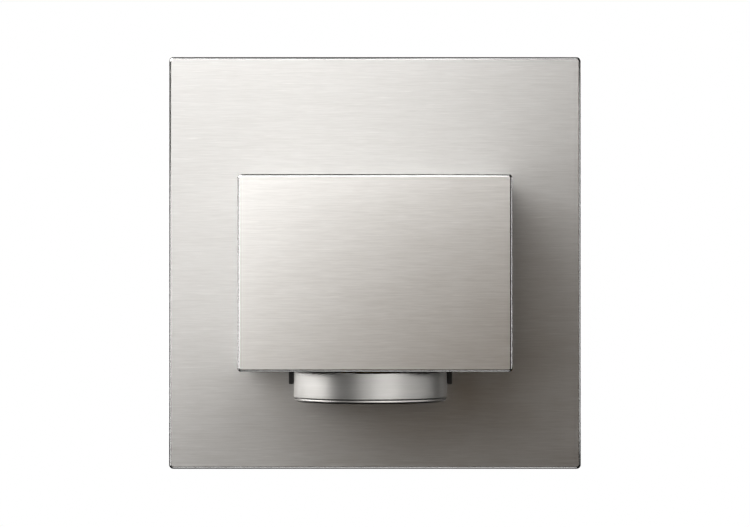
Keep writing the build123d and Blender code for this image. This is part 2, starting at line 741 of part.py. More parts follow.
def lead_plug():
    with BuildPart() as plug:
        with BuildSketch(at(RING_THICK)):
            with Locations((0, LEAD_Z)):
                Rectangle(9, 4)
        extrude(amount=PLATE_DEPTH - RING_THICK)
        chamfer(plug.faces().sort_by(Axis.Y)[0].edges(), 0.3)
    save(plug, "lead_plug")


LEAD_R = 0.45


def wire_set(label, paths, radii):
    """Round wires swept along straight runs joined by tangent arcs."""
    with BuildPart() as wires:
        for points in paths:
            with BuildLine() as route:
                FilletPolyline(*points, radius=radii)
            start = Vector(*points[0])
            with BuildSketch(Plane(origin=start, z_dir=Vector(*points[1]) - start)):
                Circle(LEAD_R)
            sweep(path=route.line)
    save(wires, label)
    bends = ", ".join(f"{radius:.1f}" for radius in radii)
    print(f"{label}: wire {2 * LEAD_R} mm across, bend radii {bends} mm")


def leads():
    """The flat lead between the two boards, and the three wires up from the potentiometer."""
    plug_end = (-PLATE_DEPTH, LEAD_Z)
    board_end = (3 - BOARD_BACK, LEAD_Z + 5)
    run = 3.5
    turn = atan2(board_end[1] - plug_end[1], plug_end[0] - board_end[0] - 2 * run)
    radius = 0.45 * run / tan(turn / 2)
    flat = []
    for place in range(5):
        x = 1.3 * (place - 2)
        flat.append(
            [
                (x, *board_end),
                (x, board_end[0] + run, board_end[1]),
                (x, plug_end[0] - run, plug_end[1]),
                (x, *plug_end),
            ]
        )
    wire_set("flat_lead", flat, [radius, radius])
    up = []
    for place in (-1, 0, 1):
        x = KNOB_X + PIN_PITCH * place
        up.append([(x, PIN_Y, POT_BOARD_TOP + 1.4), (x, PIN_Y, -9.0), (x, -BOARD_BACK, -9.0)])
    wire_set("pot_leads", up, [3.0])


def heat_sink():
    with BuildPart() as plate:
        with BuildSketch(at(-3.3)):
            insert_outline(INSERT_WALL + 0.3)
            with Locations(*RING_SCREWS):
                Circle(2.8, mode=Mode.SUBTRACT)
            with Locations((0, LEAD_Z)):
                Rectangle(12, 7, mode=Mode.SUBTRACT)
        extrude(amount=1.5)
    save(plate, "heat_sink")


def power_board():
    with BuildPart() as board:
        with BuildSketch(at(POWER_BOARD_F - 1.2)):
            insert_outline(INSERT_WALL + 0.3)
            with Locations(*RING_SCREWS):
                Circle(2.8, mode=Mode.SUBTRACT)
        extrude(amount=1.2)
    save(board, "power_board")


def insert_parts():
    """The parts on the power board: semiconductor, choke, capacitor, fuse and the wire clamps."""
    back = POWER_BOARD_F - 1.2
    with BuildPart() as triac:
        with BuildSketch(at(-3.3)):
            with Locations((-9.5, 13)):
                Rectangle(10, 9)
        extrude(amount=-4.4)
        chamfer(triac.faces().sort_by(Axis.Y)[-1].edges(), 0.5)
        with BuildSketch(at(-3.3)):
            with Locations((-9.5, 5.5)):
                Rectangle(10, 6)
                Circle(1.8, mode=Mode.SUBTRACT)
        extrude(amount=-1.3)
    save(triac, "triac")
    choke_at = (9.4, 6.0)
    with BuildPart() as choke:
        with Locations(Location((choke_at[0], -back + 3.2, choke_at[1]), (90, 0, 0))):
            Torus(5.6, 2.9)
    save(choke, "choke")
    with BuildPart() as capacitor:
        with BuildSketch(at(back)):
            with Locations((-9.4, 8.5)):
                RectangleRounded(13, 9, 0.8)
        extrude(amount=-11)
        fillet(capacitor.faces().sort_by(Axis.Y)[-1].edges(), 0.6)
    save(capacitor, "capacitor")
    with BuildPart() as fuse:
        with Locations(Location((FUSE_X, -back + 3.4, FUSE_Z), (0, 90, 0))):
            Cylinder(2.4, 20, align=(Align.CENTER, Align.CENTER, Align.MIN))
    save(fuse, "fuse")
    with BuildPart() as clips:
        for x in (FUSE_X + 1.4, FUSE_X + 18.6):
            with BuildSketch(Plane.YZ.offset(x - 1.2)):
                with Locations((-back + 3.4, FUSE_Z)):
                    Circle(3.0)
                    Circle(2.4, mode=Mode.SUBTRACT)
                with Locations((-back + 6.6, FUSE_Z)):
                    Rectangle(4, 3.4, mode=Mode.SUBTRACT)
                with Locations((-back + 0.4, FUSE_Z)):
                    Rectangle(0.8, 4.4)
            extrude(amount=2.4)
    save(clips, "fuse_clips")
    with BuildPart() as cages:
        with BuildSketch(at(back)):
            with Locations(*[(x, TERMINAL_Z) for x in TERMINAL_X]):
                Rectangle(6.4, 6.4)
        extrude(amount=-(20.0 + back) + 0.1)
        with BuildSketch(at(-20)):
            with Locations(*[(x, TERMINAL_Z) for x in TERMINAL_X]):
                Circle(2.4)
        extrude(amount=7, mode=Mode.SUBTRACT)
    save(cages, "wire_clamps")


def release_lever(side, label):
    """Push-to-release button of the screwless clamps, held behind the floor by its flange."""
    with BuildPart() as lever:
        with BuildSketch(at(-23.9)):
            with Locations((side * LEVER_X, LEVER_Z)):
                RectangleRounded(LEVER_W + 2, LEVER_H + 1.8, 0.5)
        extrude(amount=1.0)
        with BuildSketch(at(-23.9)):
            with Locations((side * LEVER_X, LEVER_Z)):
                RectangleRounded(LEVER_W, LEVER_H, 0.5)
        extrude(amount=-3.7)
        fillet(lever.faces().sort_by(Axis.Y)[-1].edges(), 0.3)
        with BuildSketch(at(-27.6)):
            with Locations((side * LEVER_X, LEVER_Z)):
                Rectangle(3.6, 0.8)
        extrude(amount=0.6, mode=Mode.SUBTRACT)
    save(lever, label)


def clamp_springs():
    """Bent leaf springs from the wire clamps to just short of the levers."""
    profile = [(12, -11.2), (12, -7.7), (20.5, -5.2), (20.5, -4.7), (11.5, -7.4), (11.5, -11.2)]
    with BuildPart() as springs:
        for x in TERMINAL_X:
            with BuildSketch(Plane.YZ.offset(x - 2.4)):
                with BuildLine():
                    Polyline(*profile, close=True)
                make_face()
            extrude(amount=4.8)
    save(springs, "clamp_springs")


cover_plate()
clip_frame()
housing_shell()
knob_guard()
rocker_plate()
rocker_carrier()
rocker_pins()
mechanism_frame()
for level, spots in (("upper", PLUNGERS_UP), ("lower", PLUNGERS_DOWN)):
    plungers(f"{level}_plungers", spots)
    contact_bridges(f"{level}_contact_bridges", spots)
    plunger_springs(f"{level}_springs", spots)
button_board()
board_contacts()
board_socket()
screw_set("board_screws", STANDOFFS, BOARD_BACK, 1.8, 1.1, 0.9, -5)
screw_set("housing_screws", PILLARS, PLATE_INNER, 2.2, 1.5, M25_R, -12)
knob_shell()
knob_hub()
pot_shaft()
pot_rotor()
pot_wiper()
pot_track()
pot_board()
pot_pins()
pot_bushing()
pot_case()
pot_nut()
support_ring()
claws()
screw_set("ring_screws", RING_SCREWS, RING_THICK, 2.0, 1.3, 1.1, 8)
insert_base()
insert_cover()
lead_plug()
leads()
heat_sink()
power_board()
insert_parts()
release_lever(-1, "release_lever_left")
release_lever(1, "release_lever_right")
clamp_springs()
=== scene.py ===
"""Looks of the brushed steel wall switch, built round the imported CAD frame. Metres, in the frame's axes."""
import json
import math

import bmesh
import bpy
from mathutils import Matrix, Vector

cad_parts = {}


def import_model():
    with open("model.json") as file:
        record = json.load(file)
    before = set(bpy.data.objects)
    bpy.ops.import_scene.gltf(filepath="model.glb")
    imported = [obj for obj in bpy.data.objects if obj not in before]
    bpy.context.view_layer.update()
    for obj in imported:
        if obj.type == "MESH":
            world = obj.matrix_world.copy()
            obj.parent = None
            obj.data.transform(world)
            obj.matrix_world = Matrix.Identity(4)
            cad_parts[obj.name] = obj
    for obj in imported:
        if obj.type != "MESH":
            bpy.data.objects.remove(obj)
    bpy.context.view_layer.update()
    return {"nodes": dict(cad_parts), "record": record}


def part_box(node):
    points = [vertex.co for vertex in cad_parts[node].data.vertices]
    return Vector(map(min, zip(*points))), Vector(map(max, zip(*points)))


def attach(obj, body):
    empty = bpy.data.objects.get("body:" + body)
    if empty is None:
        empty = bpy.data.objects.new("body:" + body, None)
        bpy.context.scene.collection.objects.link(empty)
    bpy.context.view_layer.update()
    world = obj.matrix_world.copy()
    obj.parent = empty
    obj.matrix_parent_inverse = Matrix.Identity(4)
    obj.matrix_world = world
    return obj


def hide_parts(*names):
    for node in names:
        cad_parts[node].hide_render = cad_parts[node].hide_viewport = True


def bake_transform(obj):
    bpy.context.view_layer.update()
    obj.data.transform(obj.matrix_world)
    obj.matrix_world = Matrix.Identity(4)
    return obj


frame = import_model()
NODES = frame["nodes"]
SHARP = math.radians(38)

# The upright line that the knob turns about, as (x, y).
KNOB_LOW, KNOB_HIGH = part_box("knob_shell")
KNOB_AXIS = ((KNOB_LOW.x + KNOB_HIGH.x) / 2, (KNOB_LOW.y + KNOB_HIGH.y) / 2)

# Brushed steel: the scratches are about 20 times as long as they are wide.
GRAIN_STRETCH = 0.05
SCRATCH_SCALE, BAND_SCALE, HAIR_SCALE = 5000, 1500, 4300
SCRATCH_DEPTH, SCRATCH_STRENGTH = 0.000003, 0.3
HAIR_DEPTH, HAIR_STRENGTH = 0.000004, 0.2
TURNED_RELIEF = 0.7  # turning leaves shallower marks than brushing
EDGE_ROUGHNESS = 0.2  # the rounded edges are polished smoother than the faces


# ---- node helpers --------------------------------------------------------------------------------
class Maker:
    """A thin wrapper that builds one procedural material."""

    def __init__(self, name):
        self.mat = bpy.data.materials.new(name)
        self.mat.use_nodes = True
        self.nt = self.mat.node_tree
        self.nt.nodes.clear()
        self.out = self.node("ShaderNodeOutputMaterial")
        self.bsdf = self.node("ShaderNodeBsdfPrincipled")
        self.link(self.bsdf, "BSDF", self.out, "Surface")
        self.coord = self.node("ShaderNodeTexCoord")

    def node(self, kind, **settings):
        made = self.nt.nodes.new(kind)
        for key, value in settings.items():
            setattr(made, key, value)
        return made

    def link(self, a, out, b, into):
        self.nt.links.new(a.outputs[out], b.inputs[into])

    def set(self, **values):
        for key, value in values.items():
            self.bsdf.inputs[key.replace("_", " ")].default_value = value

    def stretched(self, scale, shift=(0, 0, 0), way=None):
        """Object coordinates, or the (node, output) vector called way, scaled by axis. A noise on them runs
        long along the axis with the smallest number."""
        mapping = self.node("ShaderNodeMapping")
        mapping.inputs["Scale"].default_value = scale
        mapping.inputs["Location"].default_value = shift
        source, out = way or (self.coord, "Object")
        self.link(source, out, mapping, "Vector")
        return mapping

    def noise(self, scale, detail=2.0, rough=0.5, shift=(0, 0, 0), way=None):
        """Noise on stretched coordinates. A scale that is one number holds for all three axes."""
        scales = scale if isinstance(scale, tuple) else (scale, scale, scale)
        mapping = self.stretched(scales, shift, way)
        noise = self.node("ShaderNodeTexNoise")
        noise.inputs["Scale"].default_value = 1.0
        noise.inputs["Detail"].default_value = detail
        noise.inputs["Roughness"].default_value = rough
        self.link(mapping, "Vector", noise, "Vector")
        return noise

    def math(self, operation, a, b=None):
        """A calculation on numbers or (node, output) pairs, as a (node, output) pair."""
        made = self.node("ShaderNodeMath", operation=operation)
        for place, value in enumerate((a, b)):
            if isinstance(value, tuple):
                self.link(value[0], value[1], made, place)
            elif value is not None:
                made.inputs[place].default_value = value
        return made, "Value"

    def joined(self, x, y, z):
        made = self.node("ShaderNodeCombineXYZ")
        for place, value in enumerate((x, y, z)):
            if isinstance(value, tuple):
                self.link(value[0], value[1], made, place)
            else:
                made.inputs[place].default_value = value
        return made, "Vector"

    def to_world(self, vector):
        turned = self.node("ShaderNodeVectorTransform", vector_type="VECTOR")
        turned.convert_from = "OBJECT"
        turned.convert_to = "WORLD"
        self.link(vector[0], vector[1], turned, "Vector")
        return turned, "Vector"

    def straight_grain(self):
        """Grain along X, or along Y on the faces that look along X, and the tangent that goes with it."""
        place = self.node("ShaderNodeSeparateXYZ")
        self.link(self.coord, "Object", place, "Vector")
        facing = self.node("ShaderNodeSeparateXYZ")
        self.link(self.coord, "Normal", facing, "Vector")
        sideways = self.math("GREATER_THAN", self.math("ABSOLUTE", (facing, "X")), 0.75)
        x, y = (place, "X"), (place, "Y")
        long_x = self.math("MULTIPLY", x, GRAIN_STRETCH)
        long_y = self.math("MULTIPLY", y, GRAIN_STRETCH)
        straight = self.joined(long_x, y, (place, "Z"))
        side = self.joined(x, long_y, (place, "Z"))
        way = self.node("ShaderNodeMix", data_type="VECTOR")
        self.link(sideways[0], sideways[1], way, "Factor")
        self.link(straight[0], straight[1], way, 4)
        self.link(side[0], side[1], way, 5)
        tangent = self.joined(self.math("SUBTRACT", 1.0, sideways), sideways, 0.0)
        return (way, 1), self.to_world(tangent)

    def rounded_edge(self):
        """1 on the rounded front edges, which polishing leaves smoother than the faces, and 0 elsewhere."""
        facing = self.node("ShaderNodeSeparateXYZ")
        self.link(self.coord, "Normal", facing, "Vector")
        front = self.math("ABSOLUTE", (facing, "Y"))
        off_face = self.math("LESS_THAN", front, 0.99)
        off_side = self.math("GREATER_THAN", front, 0.05)
        return self.math("MULTIPLY", off_face, off_side)

    def round_grain(self, axis):
        """Grain round an upright axis, as a lathe leaves it, on walls and end faces alike."""
        place = self.node("ShaderNodeSeparateXYZ")
        self.link(self.coord, "Object", place, "Vector")
        dx = self.math("SUBTRACT", (place, "X"), axis[0])
        dy = self.math("SUBTRACT", (place, "Y"), axis[1])
        squares = self.math("ADD", self.math("MULTIPLY", dx, dx), self.math("MULTIPLY", dy, dy))
        radius = self.math("SQRT", squares)
        drift = self.math("MULTIPLY", self.math("ADD", dx, dy), 0.03)
        tangent = self.joined(self.math("MULTIPLY", dy, -1.0), dx, 0.0)
        return self.joined(radius, drift, (place, "Z")), self.to_world(tangent)

    def remap(self, source, out, low, high, from_low=0.3, from_high=0.7):
        ramp = self.node("ShaderNodeMapRange")
        ramp.inputs["From Min"].default_value = from_low
        ramp.inputs["From Max"].default_value = from_high
        ramp.inputs["To Min"].default_value = low
        ramp.inputs["To Max"].default_value = high
        self.link(source, out, ramp, "Value")
        return ramp

    def tint(self, source, out, dark, light, from_low=0.3, from_high=0.7):
        """A colour that runs from dark to light with the given value."""
        factor = self.remap(source, out, 0, 1, from_low, from_high)
        mix = self.node("ShaderNodeMix", data_type="RGBA")
        mix.inputs[6].default_value = (*dark, 1)
        mix.inputs[7].default_value = (*light, 1)
        self.link(factor, "Result", mix, "Factor")
        return mix

    def bump(self, source, out, strength, depth, after=None):
        bump = self.node("ShaderNodeBump")
        bump.inputs["Strength"].default_value = strength
        bump.inputs["Distance"].default_value = depth
        self.link(source, out, bump, "Height")
        if after is not None:
            self.link(after, "Normal", bump, "Normal")
        return bump


def brushed(name, dark, light, rough, aniso, axis=None):
    """Brushed or turned steel: long fine scratches, faint broader bands and a few brighter hairlines.

    Without an axis the scratches run along X, or along Y on faces that look along X, and the rounded edges
    are smooth. With an axis, the (x, y) of an upright line, the scratches run round it."""
    m = Maker(name)
    if axis is None:
        way, tangent = m.straight_grain()
    else:
        way, tangent = m.round_grain(axis)
    fine = m.noise(SCRATCH_SCALE, 2.0, 0.6, way=way)
    broad = m.noise(BAND_SCALE, 2.0, 0.5, (3.1, 7.7, 1.3), way)
    hair = m.noise(HAIR_SCALE, 1.0, 0.4, (9.2, 2.4, 5.6), way)
    grain = m.math("ADD", m.math("MULTIPLY", (fine, "Fac"), 0.8), m.math("MULTIPLY", (broad, "Fac"), 0.2))
    tone = m.tint(grain[0], grain[1], dark, light)
    hairs = m.remap(hair, "Fac", 0.0, 0.06, 0.64, 0.82)
    lift = m.node("ShaderNodeMix", data_type="RGBA", blend_type="ADD")
    m.link(hairs, "Result", lift, "Factor")
    m.link(tone, 2, lift, 6)
    lift.inputs[7].default_value = (1, 1, 1, 1)
    m.link(lift, 2, m.bsdf, "Base Color")
    roughness = m.remap(grain[0], grain[1], rough[0], rough[1])
    first = m.bump(fine, "Fac", SCRATCH_STRENGTH * TURNED_RELIEF, SCRATCH_DEPTH)
    second = m.bump(hair, "Fac", HAIR_STRENGTH * TURNED_RELIEF, HAIR_DEPTH, first)
    if axis is None:
        edge = m.rounded_edge()
        face = m.math("SUBTRACT", 1.0, edge)
        faces_share = m.math("MULTIPLY", (roughness, "Result"), face)
        edges_share = m.math("MULTIPLY", edge, EDGE_ROUGHNESS)
        m.link(*m.math("ADD", faces_share, edges_share), m.bsdf, "Roughness")
        m.link(*m.math("MULTIPLY", face, SCRATCH_STRENGTH), first, "Strength")
        m.link(*m.math("MULTIPLY", face, HAIR_STRENGTH), second, "Strength")
    else:
        m.link(roughness, "Result", m.bsdf, "Roughness")
    m.link(second, "Normal", m.bsdf, "Normal")
    m.set(Metallic=1.0, Anisotropic=aniso)
    m.link(tangent[0], tangent[1], m.bsdf, "Tangent")
    return m.mat


def moulded(name, dark, light, rough=0.5, bump=0.25, grain=1800):
    """Moulded plastic with a fine spark-eroded texture, faint mottling and a slightly uneven gloss."""
    m = Maker(name)
    texture = m.noise(grain, 2.0, 0.5)
    mottle = m.noise(160, 3.0, 0.6, (4, 1, 8))
    tone = m.tint(mottle, "Fac", dark, light)
    m.link(tone, 2, m.bsdf, "Base Color")
    gloss = m.remap(mottle, "Fac", rough - 0.06, rough + 0.06)
    m.link(gloss, "Result", m.bsdf, "Roughness")
    relief = m.bump(texture, "Fac", bump, 0.00003)
    m.link(relief, "Normal", m.bsdf, "Normal")
    return m.mat


def plated(name, dark, light, rough=0.38, spangle=220, metallic=1.0):
    """Plated or bare metal: cloudy tone, slight spangle and fine handling marks."""
    m = Maker(name)
    cells = m.node("ShaderNodeTexVoronoi", feature="F1")
    m.link(m.stretched((spangle, spangle, spangle)), "Vector", cells, "Vector")
    clouds = m.noise(120, 4.0, 0.6, (2, 5, 1))
    marks = m.noise((2600, 300, 2600), 2.0, 0.6, (7, 7, 3))
    tone = m.tint(clouds, "Fac", dark, light)
    m.link(tone, 2, m.bsdf, "Base Color")
    mixed = m.node("ShaderNodeMath", operation="ADD")
    m.link(m.remap(cells, "Distance", 0.0, 0.08, 0.0, 0.8), "Result", mixed, 0)
    m.link(m.remap(marks, "Fac", rough - 0.05, rough + 0.07), "Result", mixed, 1)
    m.link(mixed, "Value", m.bsdf, "Roughness")
    relief = m.bump(marks, "Fac", 0.12, 0.00002)
    m.link(relief, "Normal", m.bsdf, "Normal")
    m.set(Metallic=metallic)
    return m.mat


def circuit(name, mask, trace, cells=330):
    """Solder mask over copper: lighter tracks that run straight and at 45 degrees between tinned pads."""
    m = Maker(name)
    flat = m.stretched((cells, 0.0, cells))
    near = m.node("ShaderNodeTexVoronoi", feature="F1", distance="MANHATTAN", voronoi_dimensions="3D")
    next_near = m.node("ShaderNodeTexVoronoi", feature="F2", distance="MANHATTAN", voronoi_dimensions="3D")
    for source in (near, next_near):
        source.inputs["Scale"].default_value = 1.0
        source.inputs["Randomness"].default_value = 0.8
        m.link(flat, "Vector", source, "Vector")
    gap = m.math("SUBTRACT", (next_near, "Distance"), (near, "Distance"))
    track = m.remap(gap[0], gap[1], 1.0, 0.0, 0.10, 0.13)
    pad = m.remap(near, "Distance", 1.0, 0.0, 0.16, 0.19)
    tone = m.tint(track, "Result", mask, trace, 0.0, 1.0)
    tinned = m.node("ShaderNodeMix", data_type="RGBA")
    m.link(pad, "Result", tinned, "Factor")
    m.link(tone, 2, tinned, 6)
    tinned.inputs[7].default_value = (0.62, 0.62, 0.60, 1)
    m.link(tinned, 2, m.bsdf, "Base Color")
    m.link(pad, "Result", m.bsdf, "Metallic")
    cloud = m.noise(300, 2.0, 0.5)
    m.link(m.remap(cloud, "Fac", 0.28, 0.42), "Result", m.bsdf, "Roughness")
    height = m.math("MAXIMUM", (track, "Result"), (pad, "Result"))
    m.link(m.bump(height[0], height[1], 0.3, 0.00003), "Normal", m.bsdf, "Normal")
    m.set(Specular_IOR_Level=0.5)
    return m.mat


def glass(name):
    """Clear glass with faint smears."""
    m = Maker(name)
    smears = m.noise(260, 3.0, 0.6)
    m.link(m.remap(smears, "Fac", 0.03, 0.12), "Result", m.bsdf, "Roughness")
    m.link(m.tint(smears, "Fac", (0.86, 0.90, 0.88), (0.93, 0.95, 0.94)), 2, m.bsdf, "Base Color")
    m.set(Transmission_Weight=0.9, IOR=1.5)
    return m.mat


FRONT = brushed("steel_front", (0.543, 0.537, 0.528), (0.629, 0.623, 0.614), (0.455, 0.545), 0.2)
# The block is the same brushed steel as the cover plate, with a lighter base colour: painted light that
# brightens the rocker plate and housing.
LIGHTER_PAINTED_BLOCK_STEEL = brushed("steel_block_painted_lighter", (0.701, 0.698, 0.689), (0.798, 0.795, 0.786), (0.41, 0.46), 0.2)
TURNED = brushed("steel_turned", (0.625, 0.61, 0.588), (0.676, 0.66, 0.637), (0.28, 0.315), 0.5, KNOB_AXIS)
BLACK = moulded("plastic_black", (0.010, 0.010, 0.011), (0.017, 0.017, 0.018), 0.45)
GREY = moulded("plastic_grey", (0.30, 0.31, 0.32), (0.35, 0.36, 0.37), 0.52)
WHITE = moulded("plastic_white", (0.72, 0.72, 0.69), (0.80, 0.80, 0.77), 0.42)
RED = moulded("plastic_red", (0.42, 0.045, 0.03), (0.50, 0.06, 0.04), 0.3, 0.1, 900)
INSULATION = moulded("insulation", (0.50, 0.48, 0.43), (0.58, 0.56, 0.51), 0.5, 0.15, 1200)
CARBON = moulded("carbon", (0.015, 0.015, 0.015), (0.03, 0.03, 0.03), 0.7, 0.3, 2600)
RESIN = moulded("resin_board", (0.30, 0.17, 0.07), (0.38, 0.22, 0.10), 0.55, 0.2, 1500)
ZINC = plated("zinc_sheet", (0.50, 0.51, 0.53), (0.62, 0.63, 0.64), 0.36)
SCREW = plated("screw_zinc", (0.44, 0.44, 0.44), (0.56, 0.56, 0.55), 0.30, 600)
SPRING = plated("spring_steel", (0.40, 0.40, 0.40), (0.52, 0.52, 0.52), 0.26, 900)
BRASS = plated("brass", (0.60, 0.43, 0.18), (0.74, 0.56, 0.26), 0.30, 500)
COPPER = plated("copper_enamel", (0.52, 0.22, 0.10), (0.66, 0.31, 0.16), 0.22, 800)
SINK = plated("aluminium_sheet", (0.66, 0.67, 0.68), (0.76, 0.77, 0.78), 0.34, 150)
BOARD = circuit("circuit_board", (0.012, 0.10, 0.045), (0.03, 0.17, 0.08))
FUSE = glass("fuse_glass")

BY_SLOT = {
    "brushed_stainless": FRONT,
    "turned_stainless": TURNED,
    "zinc_steel": ZINC,
    "screw_steel": SCREW,
    "spring_steel": SPRING,
    "black_plastic": BLACK,
    "grey_plastic": GREY,
    "white_plastic": WHITE,
    "red_plastic": RED,
    "brass": BRASS,
    "copper": COPPER,
    "aluminium": SINK,
    "circuit_board": BOARD,
    "pin_board": RESIN,
    "carbon": CARBON,
    "lead_insulation": INSULATION,
    "fuse_glass": FUSE,
}
for part in frame["record"]["subparts"]:
    materials = NODES[part["node"]].data.materials
    materials.clear()
    materials.append(BY_SLOT[part["material_slot"]])
# The rocker plate and housing get the lighter copy of the cover plate's steel: painted light, not a different
# finish.
for name in ("rocker_plate", "housing_shell"):
    NODES[name].data.materials[0] = LIGHTER_PAINTED_BLOCK_STEEL


# ---- pieces finer than the CAD -------------------------------------------------------------------
def wire(name, paths, radius):
    """Round wire along each path, as one mesh."""
    curve = bpy.data.curves.new(name + "_line", "CURVE")
    curve.dimensions = "3D"
    curve.bevel_depth = radius
    curve.bevel_resolution = 3
    curve.use_fill_caps = True
    for path in paths:
        spline = curve.splines.new("POLY")
        spline.points.add(len(path) - 1)
        for point, place in zip(spline.points, path):
            point.co = (*place, 1)
    line = bpy.data.objects.new(name + "_line", curve)
    mesh = bpy.data.meshes.new_from_object(line)
    bpy.data.objects.remove(line)
    bpy.data.curves.remove(curve)
    return piece(name, mesh)


def piece(name, mesh):
    """An object for a new mesh, with its faces turned outwards and shaded smooth except at sharp edges."""
    mesh.name = name
    shell = bmesh.new()
    shell.from_mesh(mesh)
    bmesh.ops.recalc_face_normals(shell, faces=shell.faces)
    for edge in shell.edges:
        edge.smooth = len(edge.link_faces) != 2 or edge.calc_face_angle() < SHARP
    shell.to_mesh(mesh)
    shell.free()
    made = bpy.data.objects.new(name, mesh)
    bpy.context.scene.collection.objects.link(made)
    for polygon in mesh.polygons:
        polygon.use_smooth = True
    return made


def finish_piece(made, body, slot):
    """Gives a new piece the material of its slot and, unless it is blended, the body that it rides on."""
    made.data.materials.clear()
    made.data.materials.append(BY_SLOT[slot])
    if body is not None:
        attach(made, body)


def coil(centre, back, front, radius, wire_radius, turns, steps=28):
    """Points of a compression spring along Y with its end turns wound close."""
    x, z = centre
    span = front - back
    pitch_closed = 2 * wire_radius * (1 if span > 0 else -1)
    inner_turns = turns - 2
    open_rise = (span - 2 * pitch_closed) / inner_turns
    points = []
    for step in range(int(turns * steps) + 1):
        turn = step / steps
        if turn < 1:
            y = back + pitch_closed * turn
        elif turn < turns - 1:
            y = back + pitch_closed + open_rise * (turn - 1)
        else:
            y = front - pitch_closed * (turns - turn)
        angle = 2 * math.pi * turn
        points.append((x + radius * math.cos(angle), y, z + radius * math.sin(angle)))
    return points


def plunger_coils(level):
    """Two coil springs from the button board to the plungers' collars, which carry their front ends."""
    low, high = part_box(f"{level}_springs")
    wire_radius = 0.0002
    outer = 0.0023
    turns = 7
    middle = (low.z + high.z) / 2
    back, front = high.y - wire_radius, low.y + wire_radius
    paths = []
    for x in (low.x + outer, high.x - outer):
        paths.append(coil((x, middle), back, front, outer - wire_radius, wire_radius, turns))
    coils = wire(f"{level}_coils", paths, wire_radius)
    finish_piece(coils, None, "spring_steel")
    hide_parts(f"{level}_springs")
    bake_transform(coils)


COARSE_PITCH, FINE_PITCH = 0.00045, 0.0004


def thread_ridge(points, faces, centre, front, back, radius, pitch, height=0.00010, steps=24):
    """Adds a helical ridge along Y whose crest fades out at both ends and whose foot is sunk in the shank."""
    x, z = centre
    sunk = 0.00002
    half_width = 0.4 * pitch
    turns = (back - front) / pitch
    count = int(turns * steps)
    base = len(points)
    for step in range(count + 1):
        angle = 2 * math.pi * step / steps
        y = front + pitch * step / steps
        crest = height * min(1, step / steps, (count - step) / steps)
        for out, along in ((-sunk, -half_width), (crest, 0.0), (-sunk, half_width)):
            reach = radius + out
            points.append((x + reach * math.cos(angle), y + along, z + reach * math.sin(angle)))
    for step in range(count):
        a = base + 3 * step
        faces.append((a, a + 3, a + 4, a + 1))
        faces.append((a + 1, a + 4, a + 5, a + 2))
        faces.append((a + 2, a + 5, a + 3, a))
    faces.append((base, base + 1, base + 2))
    end = base + 3 * count
    faces.append((end + 2, end + 1, end))


def threads(node, body, centres, front, back, radius, pitch=COARSE_PITCH):
    """Cut threads on a set of screws, which the CAD draws as plain shanks, from front to back along Y."""
    points, faces = [], []
    for centre in centres:
        thread_ridge(points, faces, centre, front, back, radius, pitch)
    mesh = bpy.data.meshes.new(node + "_thread")
    mesh.from_pydata(points, [], faces)
    mesh.validate()
    made = piece(node + "_thread", mesh)
    finish_piece(made, body, "screw_steel")


def ring_band(points, faces, centre, inner, outer, half, corner, around=72):
    """Adds a ring about a line along Y, whose section is a rectangle with cut corners."""
    cx, cy, cz = centre
    section = [
        (inner, -half + corner), (inner + corner, -half), (outer - corner, -half), (outer, -half + corner),
        (outer, half - corner), (outer - corner, half), (inner + corner, half), (inner, half - corner),
    ]
    base, count = len(points), len(section)
    for step in range(around):
        angle = 2 * math.pi * step / around
        for reach, up in section:
            points.append((cx + reach * math.cos(angle), cy + up, cz + reach * math.sin(angle)))
    for step in range(around):
        for k in range(count):
            a = base + step * count + k
            b = base + step * count + (k + 1) % count
            c = base + (step + 1) % around * count + (k + 1) % count
            d = base + (step + 1) % around * count + k
            faces.append((a, b, c, d))


def choke():
    """A ring core with one layer of enamelled wire and two legs into the power board."""
    low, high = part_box("choke")
    centre = (low + high) / 2
    tube = (high.y - low.y) / 2
    ring = (high.x - low.x) / 2 - tube
    wire_radius = 0.00028
    points, faces = [], []
    room = tube - 2 * wire_radius
    half = 0.72 * room
    ring_band(points, faces, centre, ring - half, ring + half, half, 0.25 * room)
    mesh = bpy.data.meshes.new("choke_core")
    mesh.from_pydata(points, [], faces)
    made = piece("choke_core", mesh)
    finish_piece(made, "base", "carbon")
    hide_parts("choke")
    turns, steps, gap = 27, 20, math.radians(50)
    reach = 0.97 * (tube - wire_radius)
    roundness, corner = 0.86, 0.14
    path = []
    for step in range(turns * steps + 1):
        share = step / (turns * steps)
        around = -math.pi / 2 + gap / 2 + share * (2 * math.pi - gap)
        turn = 2 * math.pi * turns * share + math.pi / 2
        lift = reach * (roundness + corner * math.cos(4 * turn))
        out = ring + lift * math.cos(turn)
        x = centre.x + out * math.cos(around)
        y = centre.y - lift * math.sin(turn)
        z = centre.z + out * math.sin(around)
        path.append((x, y, z))
    floor_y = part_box("power_board")[1].y
    first = (path[0][0], floor_y, path[0][2])
    last = (path[-1][0], floor_y, path[-1][2])
    winding = wire("choke_winding", [[first] + path + [last]], wire_radius)
    finish_piece(winding, "base", "copper")


def turned_along_x(name, centre, rows, open_ended, around=40):
    """A round solid about a line along X, from rows of (radius, x). An open-ended one is a tube's wall."""
    points, faces = [], []
    for reach, x in rows:
        for step in range(around):
            angle = 2 * math.pi * step / around
            points.append((x, centre.y + reach * math.cos(angle), centre.z + reach * math.sin(angle)))
    rings = len(rows)
    for row in range(rings if open_ended else rings - 1):
        first = row * around
        second = (row + 1) % rings * around
        for step in range(around):
            onward = (step + 1) % around
            faces.append((first + step, first + onward, second + onward, second + step))
    if not open_ended:
        faces.append(tuple(range(around)))
        faces.append(tuple(reversed(range((rings - 1) * around, rings * around))))
    mesh = bpy.data.meshes.new(name)
    mesh.from_pydata(points, [], faces)
    return piece(name, mesh)


def softened(radius, start, end, edge=0.00025):
    """The outline of a round wall from start to end with chamfered ends."""
    return [(radius - edge, start), (radius, start + edge), (radius, end - edge), (radius - edge, end)]


